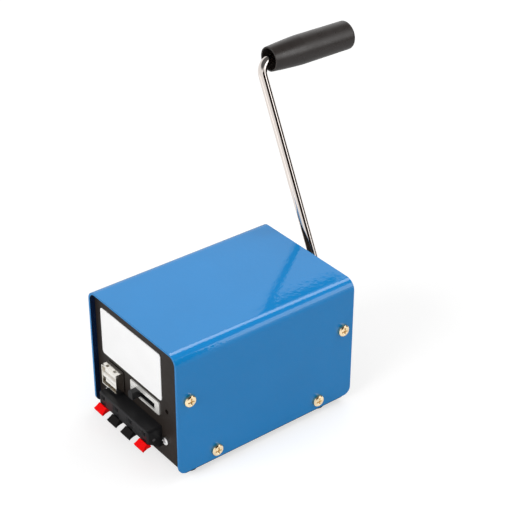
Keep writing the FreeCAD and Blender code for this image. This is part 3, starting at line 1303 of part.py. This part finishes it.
def main():
    os.makedirs("parts", exist_ok=True)
    write("top_cover", [top_cover()])
    write("cover_screws", cover_screws())
    write("chassis", [chassis()])
    write("rubber_feet", rubber_feet())
    write("foot_screws", foot_screws())
    write("label_plate", [label_plate()])
    write("usb_shell", [usb_shell()])
    write("usb_bracket", [usb_bracket()])
    write("usb_insulators", [usb_insulators()])
    write("usb_contacts", usb_contacts())
    write("switch_frame", [switch_frame()])
    write("switch_body", [switch_body()])
    write("switch_knob", [switch_knob()])
    write("terminal_block", [terminal_block()])
    write("terminal_pin", [terminal_pin()])
    for number, x in enumerate(terminal_xs(), 1):
        write("terminal_lever_%d" % number, [lever(x)])
    write("terminal_springs", terminal_springs())
    write("terminal_screws", terminal_screws())
    write("crank_shaft", [crank_shaft()])
    write("crank_hub", [crank_hub()])
    write("hub_screws", hub_screws())
    write("crank_rod", [crank_rod()])
    write("crank_grip", [crank_grip()])
    write("grip_cap", [grip_cap()])
    write("rod_clip", [rod_clip()])
    write("rear_bush", [rear_bush()])
    write("front_bush", [front_bush()])
    write("rear_gear_plate", [rear_gear_plate()])
    write("front_gear_plate", [front_gear_plate()])
    write("plate_spacers", plate_spacers())
    write("plate_screws", plate_screws())
    write("drive_gear", [drive_gear()])
    write("idler_pin", [idler_pin()])
    write("idler_gear", [idler_gear()])
    write("rotor_pinion", [rotor_pinion()])
    write("rotor_shaft", [rotor_shaft()])
    write("rotor_magnet", [rotor_magnet()])
    write("rotor_bearings", rotor_bearings())
    write("generator_can", [generator_can()])
    write("generator_end_cap", [end_cap()])
    write("generator_screws", can_screws())
    write("stator_core", [stator_core()])
    write("stator_coils", stator_coils())
    write("generator_leads", generator_leads())
    write("circuit_board", [circuit_board()])
    write("board_standoffs", board_standoffs())
    write("board_screws", board_screws())
    write("capacitors", capacitors())
    write("rectifier", [rectifier()])
    write("inductor", [inductor()])
    write("regulator", [regulator()])
    write("heat_sink", [heat_sink()])


main()
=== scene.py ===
import json
import math

import bpy
from mathutils import Matrix, Vector


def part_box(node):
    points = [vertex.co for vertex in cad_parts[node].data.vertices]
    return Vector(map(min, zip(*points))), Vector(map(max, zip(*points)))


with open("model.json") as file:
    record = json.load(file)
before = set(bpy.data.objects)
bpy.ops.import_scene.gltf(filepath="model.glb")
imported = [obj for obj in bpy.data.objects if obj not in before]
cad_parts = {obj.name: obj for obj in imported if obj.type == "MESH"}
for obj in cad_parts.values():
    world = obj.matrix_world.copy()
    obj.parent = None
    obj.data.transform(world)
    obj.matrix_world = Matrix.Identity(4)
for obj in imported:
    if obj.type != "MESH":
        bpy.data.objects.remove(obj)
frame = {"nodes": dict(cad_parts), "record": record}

# Camera, solved from the edges of the box in the photograph
CAMERA_PLACE = Vector((0.59979, -0.44104, 0.57214))
CAMERA_AZIMUTH = 52.07
CAMERA_ELEVATION = 31.78
CAMERA_ROLL = 0.14
LENS_MM = 102.26
SENSOR_MM = 36.0

# Studio
WHITE = (1.0, 1.0, 1.0)
STAGE_MIDDLE = Vector((0.0, 0.03, 0.06))
FLOOR_HALF_WIDTH = 2.5
FLOOR_COLOUR = (0.55, 0.55, 0.55)
FLOOR_ROUGHNESS = 0.9
# The floor's own light near the object and far from it, and the distances where it changes
FLOOR_GLOW = (0.57, 0.80)
GLOW_FADE = (0.35, 1.20)
AMBIENT_STRENGTH = 0.38
# The heights of view, as sines, where the sky darkens, and its strength above them
SKY_FADE = (0.58, 0.80)
SKY_DARK = 0.12
# Lamps: place, size, power in watts, seen in gloss or not
BEND_LAMP = ((-0.42, 0.60, 1.10), (1.26, 0.35), 5.6, True)
OVERHEAD_LAMP = ((-0.05, 0.60, 1.10), (1.25, 0.35), 4.0, False)
RIGHT_LAMP = ((1.00, 0.75, 0.72), (0.45, 0.70), 1.9, True)
FRONT_LAMP = ((0.05, -1.30, 0.75), (1.0, 0.7), 13.5, False)
SIDE_LAMP = ((1.30, -0.20, 0.40), (0.9, 0.7), 5.0, False)
# Flags: place, size, colour
RIGHT_FLAG = ((0.62, 0.00, 0.32), (0.62, 0.60), (0.020, 0.010, 0.006))
BACK_FLAG = ((0.20, 0.75, 0.10), (0.60, 0.60), (0.050, 0.045, 0.040))

# Noises in the finishes
NOISE_SPAN = (0.3, 0.7)
COLOUR_DETAIL = 4.0
ROUGHNESS_DETAIL = 3.0
ROUGHNESS_SCALE = 150.0
LEAST_ROUGHNESS = 0.02
BUMP_DETAIL = 2.0
COAT_ROUGHNESS = 0.1

# Cover paint, and the painted shade on its inner faces
COVER_BLUE = (0.008, 0.21, 0.53)
# Dark colour painted on the cover's inner faces as shade
COVER_INNER_SHADE = (0.002, 0.012, 0.045)
ORANGE_PEEL_SCALE = 360
ORANGE_PEEL_HEIGHT = 0.00006

# Nodes that mirror the floor as bright as the camera sees it
BRIGHT_METAL = ("crank_rod", "crank_hub", "hub_screws", "usb_shell", "switch_frame", "cover_screws",
                "terminal_screws", "plate_screws")

# Rounds on sharp edges, by node
EDGE_ANGLE = 35
EDGE_SEGMENTS = 2
EDGE_ROUNDS = {
    "usb_shell": 0.00012, "usb_insulators": 0.00015, "switch_frame": 0.0002, "switch_knob": 0.0003,
    "terminal_block": 0.0003, "terminal_lever_1": 0.0002, "terminal_lever_2": 0.0002,
    "terminal_lever_3": 0.0002, "terminal_lever_4": 0.0002, "label_plate": 0.00012, "top_cover": 0.0003,
}

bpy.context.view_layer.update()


def colour_node(nodes, links, base, variation, scale, coords):
    """A colour that drifts a little over the surface."""
    noise = nodes.new("ShaderNodeTexNoise")
    noise.inputs["Scale"].default_value = scale
    noise.inputs["Detail"].default_value = COLOUR_DETAIL
    links.new(coords, noise.inputs["Vector"])
    ramp = nodes.new("ShaderNodeValToRGB")
    low, high = ramp.color_ramp.elements
    low.position, high.position = NOISE_SPAN
    low.color = tuple(max(0.0, c * (1 - variation)) for c in base) + (1.0,)
    high.color = tuple(min(1.0, c * (1 + variation)) for c in base) + (1.0,)
    links.new(noise.outputs["Fac"], ramp.inputs["Fac"])
    return ramp.outputs["Color"]


def roughness_node(nodes, links, middle, spread, coords):
    """Roughness that wanders around its middle value."""
    noise = nodes.new("ShaderNodeTexNoise")
    noise.inputs["Scale"].default_value = ROUGHNESS_SCALE
    noise.inputs["Detail"].default_value = ROUGHNESS_DETAIL
    links.new(coords, noise.inputs["Vector"])
    span = nodes.new("ShaderNodeMapRange")
    span.inputs["From Min"].default_value, span.inputs["From Max"].default_value = NOISE_SPAN
    span.inputs["To Min"].default_value = max(LEAST_ROUGHNESS, middle - spread)
    span.inputs["To Max"].default_value = min(1.0, middle + spread)
    links.new(noise.outputs["Fac"], span.inputs["Value"])
    return span.outputs["Result"]


def bump_node(nodes, links, scale, height, stretch, coords):
    """Fine relief, with its height in metres."""
    placed = nodes.new("ShaderNodeMapping")
    placed.inputs["Scale"].default_value = stretch
    links.new(coords, placed.inputs["Vector"])
    noise = nodes.new("ShaderNodeTexNoise")
    noise.inputs["Scale"].default_value = scale
    noise.inputs["Detail"].default_value = BUMP_DETAIL
    links.new(placed.outputs["Vector"], noise.inputs["Vector"])
    bump = nodes.new("ShaderNodeBump")
    bump.inputs["Distance"].default_value = height
    bump.inputs["Strength"].default_value = 1.0
    links.new(noise.outputs["Fac"], bump.inputs["Height"])
    return bump.outputs["Normal"]


def material(name, base, roughness, metallic=0.0, variation=0.06, colour_scale=60.0, spread=0.05,
             bump_scale=900.0, bump_height=0.00002, stretch=(1, 1, 1), coat=0.0, specular=0.5):
    """A surface finish with drifting colour, drifting roughness and a fine relief."""
    made = bpy.data.materials.new(name)
    made.use_nodes = True
    nodes, links = made.node_tree.nodes, made.node_tree.links
    shader = nodes["Principled BSDF"]
    coords = nodes.new("ShaderNodeTexCoord").outputs["Object"]
    colour = colour_node(nodes, links, base, variation, colour_scale, coords)
    links.new(colour, shader.inputs["Base Color"])
    links.new(roughness_node(nodes, links, roughness, spread, coords), shader.inputs["Roughness"])
    relief = bump_node(nodes, links, bump_scale, bump_height, stretch, coords)
    links.new(relief, shader.inputs["Normal"])
    shader.inputs["Metallic"].default_value = metallic
    shader.inputs["Coat Weight"].default_value = coat
    shader.inputs["Coat Roughness"].default_value = COAT_ROUGHNESS
    shader.inputs["Specular IOR Level"].default_value = specular
    return made


def cover_finish():
    """Gloss blue powder coat with orange peel outside, and painted shade darkening the inner faces of the
    folded sheet.
    """
    made = material("blue_powder_coat", COVER_BLUE, 0.035, variation=0.03, colour_scale=25, spread=0.01,
                    bump_scale=ORANGE_PEEL_SCALE, bump_height=ORANGE_PEEL_HEIGHT, specular=0.5)
    nodes, links = made.node_tree.nodes, made.node_tree.links
    shader = nodes["Principled BSDF"]
    outside = shader.inputs["Base Color"].links[0].from_socket
    # Painted shade: faces turned toward the middle of the cover take the dark inner colour
    low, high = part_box("top_cover")
    coords = nodes.new("ShaderNodeTexCoord")
    away = nodes.new("ShaderNodeVectorMath")
    away.operation = "SUBTRACT"
    away.inputs[1].default_value = (low + high) / 2
    links.new(coords.outputs["Object"], away.inputs[0])
    facing = nodes.new("ShaderNodeVectorMath")
    facing.operation = "DOT_PRODUCT"
    links.new(away.outputs["Vector"], facing.inputs[0])
    links.new(coords.outputs["Normal"], facing.inputs[1])
    inner_shade_mask = nodes.new("ShaderNodeMath")
    inner_shade_mask.operation = "LESS_THAN"
    inner_shade_mask.inputs[1].default_value = 0.0
    links.new(facing.outputs["Value"], inner_shade_mask.inputs[0])
    mix = nodes.new("ShaderNodeMixRGB")
    mix.inputs["Color2"].default_value = COVER_INNER_SHADE + (1.0,)
    links.new(inner_shade_mask.outputs["Value"], mix.inputs["Fac"])
    links.new(outside, mix.inputs["Color1"])
    links.new(mix.outputs["Color"], shader.inputs["Base Color"])
    return made


def finishes():
    """One finish for each material slot of the record."""
    return {
        "cover_paint": cover_finish(),
        "chassis_paint": material("dark_powder_coat", (0.017, 0.0125, 0.010), 0.5, variation=0.12,
                                  specular=0.4, bump_scale=1800, bump_height=0.00001),
        "plated_screw": material("yellow_zinc", (0.86, 0.69, 0.44), 0.20, metallic=1.0, variation=0.15,
                                 colour_scale=300, bump_scale=2500),
        "steel_screw": material("bright_zinc", (0.78, 0.78, 0.78), 0.25, metallic=1.0, colour_scale=300),
        "rubber": material("black_rubber", (0.025, 0.025, 0.025), 0.7, bump_height=0.00005),
        "label_white": material("white_film", (0.97, 0.97, 0.97), 0.4, variation=0.015, bump_height=0.000004),
        "usb_metal": material("nickel_shell", (0.86, 0.83, 0.77), 0.16, metallic=1.0, spread=0.03,
                              bump_height=0.000002, stretch=(1, 12, 1)),
        "usb_plastic": material("white_carrier", (0.90, 0.88, 0.84), 0.45, variation=0.03),
        "contact_metal": material("gold_flash", (0.85, 0.62, 0.28), 0.25, metallic=1.0),
        "switch_metal": material("nickel_frame", (0.90, 0.89, 0.86), 0.3, metallic=0.5, spread=0.03,
                                 bump_height=0.000002, stretch=(12, 1, 1)),
        "switch_black": material("switch_plastic", (0.012, 0.012, 0.013), 0.4, specular=0.4,
                                 bump_height=0.00001),
        "terminal_black": material("terminal_plastic", (0.010, 0.010, 0.011), 0.4, specular=0.4,
                                   bump_height=0.00001),
        "lever_red": material("red_plastic", (0.90, 0.003, 0.004), 0.4, variation=0.05, specular=0.08,
                              bump_height=0.00001),
        "lever_black": material("black_plastic", (0.004, 0.003, 0.003), 0.4, specular=0.12,
                                bump_height=0.00001),
        "chrome": material("polished_chrome", (0.74, 0.68, 0.64), 0.05, metallic=1.0, variation=0.01,
                           spread=0.02, bump_height=0.000002),
        "grip_black": material("satin_grip", (0.024, 0.019, 0.017), 0.30, variation=0.08, specular=0.6,
                               bump_scale=1500, bump_height=0.00001),
        "steel": material("turned_steel", (0.56, 0.56, 0.57), 0.3, metallic=1.0, stretch=(1, 20, 1)),
        "plate_zinc": material("zinc_sheet", (0.66, 0.67, 0.68), 0.35, metallic=1.0, colour_scale=120),
        "bronze": material("sintered_bronze", (0.60, 0.40, 0.19), 0.4, metallic=1.0, bump_scale=3000),
        "gear_steel": material("oiled_steel", (0.34, 0.34, 0.35), 0.32, metallic=1.0),
        "gear_brass": material("cut_brass", (0.77, 0.58, 0.27), 0.25, metallic=1.0),
        "can_steel": material("drawn_can", (0.58, 0.58, 0.59), 0.3, metallic=1.0, stretch=(1, 20, 1)),
        "lamination": material("lamination_stack", (0.25, 0.25, 0.26), 0.45, metallic=1.0,
                               stretch=(1, 60, 1)),
        "magnet": material("ferrite", (0.09, 0.09, 0.09), 0.5),
        "copper": material("enamelled_copper", (0.66, 0.28, 0.10), 0.25, metallic=1.0, stretch=(1, 40, 1)),
        "board_green": material("solder_mask", (0.02, 0.20, 0.07), 0.3, coat=0.5),
        "capacitor_sleeve": material("shrink_sleeve", (0.03, 0.04, 0.12), 0.35),
        "component_black": material("moulded_epoxy", (0.03, 0.03, 0.03), 0.5),
        "sink_aluminium": material("extruded_aluminium", (0.74, 0.74, 0.76), 0.35, metallic=1.0,
                                   stretch=(1, 30, 1)),
        "lead_red": material("lead_insulation", (0.55, 0.02, 0.02), 0.5),
    }


def dress_nodes(finish):
    """Every CAD node takes the finish of its slot."""
    for part in frame["record"]["subparts"]:
        node = frame["nodes"][part["node"]]
        if not node.material_slots:
            node.data.materials.append(None)
        for place in node.material_slots:
            place.link = "OBJECT"
            place.material = finish[part["material_slot"]]


def soften_edges():
    """Small rounds on the sharp edges of the moulded and pressed parts that the camera sees."""
    for name, width in EDGE_ROUNDS.items():
        bevel = frame["nodes"][name].modifiers.new("edge_round", "BEVEL")
        bevel.width = width
        bevel.segments = EDGE_SEGMENTS
        bevel.limit_method = "ANGLE"
        bevel.angle_limit = math.radians(EDGE_ANGLE)


def view_axes():
    """Right, up and backward directions of the camera."""
    azimuth, elevation = math.radians(CAMERA_AZIMUTH), math.radians(CAMERA_ELEVATION)
    back = Vector((math.sin(azimuth) * math.cos(elevation), -math.cos(azimuth) * math.cos(elevation),
                   math.sin(elevation)))
    right = Vector((math.cos(azimuth), math.sin(azimuth), 0.0))
    up = back.cross(right)
    roll = math.radians(CAMERA_ROLL)
    return (right * math.cos(roll) + up * math.sin(roll), up * math.cos(roll) - right * math.sin(roll), back)


def add_camera():
    """The photograph's camera."""
    data = bpy.data.cameras.new("camera")
    data.lens = LENS_MM
    data.sensor_width = SENSOR_MM
    camera = bpy.data.objects.new("camera", data)
    bpy.context.collection.objects.link(camera)
    turn = Matrix(view_axes()).transposed().to_4x4()
    camera.matrix_world = Matrix.Translation(CAMERA_PLACE) @ turn
    bpy.context.scene.camera = camera


def seen_ray(nodes, links):
    """1 for rays from the camera, in gloss or through glass, 0 for diffuse light."""
    path = nodes.new("ShaderNodeLightPath")
    first = nodes.new("ShaderNodeMath")
    first.operation = "MAXIMUM"
    links.new(path.outputs["Is Camera Ray"], first.inputs[0])
    links.new(path.outputs["Is Glossy Ray"], first.inputs[1])
    second = nodes.new("ShaderNodeMath")
    second.operation = "MAXIMUM"
    links.new(first.outputs[0], second.inputs[0])
    links.new(path.outputs["Is Transmission Ray"], second.inputs[1])
    return second.outputs[0]


def sky_strength(nodes, links):
    """White all round the set, and darker straight above it, between the lamps."""
    direction = nodes.new("ShaderNodeSeparateXYZ")
    links.new(nodes.new("ShaderNodeTexCoord").outputs["Generated"], direction.inputs["Vector"])
    fade = nodes.new("ShaderNodeMapRange")
    fade.interpolation_type = "SMOOTHSTEP"
    fade.inputs["From Min"].default_value, fade.inputs["From Max"].default_value = SKY_FADE
    fade.inputs["To Min"].default_value = 1.0
    fade.inputs["To Max"].default_value = SKY_DARK
    links.new(direction.outputs["Z"], fade.inputs["Value"])
    return fade.outputs["Result"]


def add_world():
    """Even white surroundings, seen at full strength and lighting at less."""
    world = bpy.data.worlds.new("studio")
    bpy.context.scene.world = world
    world.use_nodes = True
    nodes, links = world.node_tree.nodes, world.node_tree.links
    nodes.clear()
    lighting = nodes.new("ShaderNodeBackground")
    lighting.inputs["Strength"].default_value = AMBIENT_STRENGTH
    seen = nodes.new("ShaderNodeBackground")
    seen.inputs["Color"].default_value = WHITE + (1.0,)
    links.new(sky_strength(nodes, links), seen.inputs["Strength"])
    lighting.inputs["Color"].default_value = WHITE + (1.0,)
    mix = nodes.new("ShaderNodeMixShader")
    links.new(seen_ray(nodes, links), mix.inputs["Fac"])
    links.new(lighting.outputs[0], mix.inputs[1])
    links.new(seen.outputs[0], mix.inputs[2])
    links.new(mix.outputs[0], nodes.new("ShaderNodeOutputWorld").inputs["Surface"])


def floor_material():
    """Pale floor that takes the object's shadow, and stays pale far away from the lamps."""
    made = bpy.data.materials.new("floor")
    made.use_nodes = True
    nodes, links = made.node_tree.nodes, made.node_tree.links
    shader = nodes["Principled BSDF"]
    shader.inputs["Base Color"].default_value = FLOOR_COLOUR + (1.0,)
    shader.inputs["Roughness"].default_value = FLOOR_ROUGHNESS
    shader.inputs["Specular IOR Level"].default_value = 0.0
    shader.inputs["Emission Color"].default_value = WHITE + (1.0,)
    distance = nodes.new("ShaderNodeVectorMath")
    distance.operation = "LENGTH"
    links.new(nodes.new("ShaderNodeTexCoord").outputs["Object"], distance.inputs[0])
    spread = nodes.new("ShaderNodeMapRange")
    spread.interpolation_type = "SMOOTHSTEP"
    spread.inputs["From Min"].default_value, spread.inputs["From Max"].default_value = GLOW_FADE
    spread.inputs["To Min"].default_value, spread.inputs["To Max"].default_value = FLOOR_GLOW
    links.new(distance.outputs["Value"], spread.inputs["Value"])
    glow = nodes.new("ShaderNodeMath")
    glow.operation = "MULTIPLY"
    links.new(spread.outputs["Result"], glow.inputs[1])
    links.new(seen_ray(nodes, links), glow.inputs[0])
    links.new(glow.outputs[0], shader.inputs["Emission Strength"])
    return made


def add_floor():
    """A wide floor on the plane that the feet rest on."""
    data = bpy.data.meshes.new("floor")
    half = FLOOR_HALF_WIDTH
    corners = [(-half, -half, 0), (half, -half, 0), (half, half, 0), (-half, half, 0)]
    data.from_pydata(corners, [], [(0, 1, 2, 3)])
    floor = bpy.data.objects.new("floor", data)
    bpy.context.collection.objects.link(floor)
    data.materials.append(floor_material())
    light_only(floor, BRIGHT_METAL)


def add_lamp(name, place, size, power, mirrored):
    """A soft box that looks at the middle of the object, seen in its gloss or not."""
    data = bpy.data.lights.new(name, "AREA")
    data.shape = "RECTANGLE"
    data.size, data.size_y = size
    data.energy = power
    lamp = bpy.data.objects.new(name, data)
    bpy.context.collection.objects.link(lamp)
    lamp.visible_glossy = mirrored
    lamp.location = place
    lamp.rotation_euler = (STAGE_MIDDLE - Vector(place)).to_track_quat("-Z", "Y").to_euler()
    return lamp


def light_only(source, names):
    """Keeps what a lamp or a floor gives off for some CAD nodes."""
    lit = bpy.data.collections.new("lit_by_" + source.name)
    for name in names:
        lit.objects.link(frame["nodes"][name])
    source.light_linking.receiver_collection = lit


def add_flag(name, place, size, colour):
    """A dark card beside the set, seen only in gloss, mostly that of polished metal."""
    half_width, half_height = size[0] / 2, size[1] / 2
    corners = [(-half_width, -half_height, 0), (half_width, -half_height, 0),
               (half_width, half_height, 0), (-half_width, half_height, 0)]
    data = bpy.data.meshes.new(name)
    data.from_pydata(corners, [], [(0, 1, 2, 3)])
    made = bpy.data.materials.new(name)
    made.use_nodes = True
    shader = made.node_tree.nodes["Principled BSDF"]
    shader.inputs["Base Color"].default_value = colour + (1.0,)
    shader.inputs["Roughness"].default_value = 1.0
    shader.inputs["Specular IOR Level"].default_value = 0.0
    data.materials.append(made)
    card = bpy.data.objects.new(name, data)
    bpy.context.collection.objects.link(card)
    card.location = place
    card.rotation_euler = (STAGE_MIDDLE - Vector(place)).to_track_quat("Z", "Y").to_euler()
    card.visible_camera = False
    card.visible_diffuse = False
    card.visible_shadow = False


def add_studio():
    """World, floor, lamps and flags."""
    add_world()
    add_floor()
    add_flag("right_flag", *RIGHT_FLAG)
    add_flag("back_flag", *BACK_FLAG)
    add_lamp("overhead_lamp", *OVERHEAD_LAMP)
    light_only(add_lamp("bend_lamp", *BEND_LAMP), ["top_cover"])
    add_lamp("right_lamp", *RIGHT_LAMP)
    add_lamp("front_lamp", *FRONT_LAMP)
    add_lamp("side_lamp", *SIDE_LAMP)
    bpy.context.scene.view_settings.view_transform = "Standard"


finish = finishes()
dress_nodes(finish)
soften_edges()
add_camera()
add_studio()
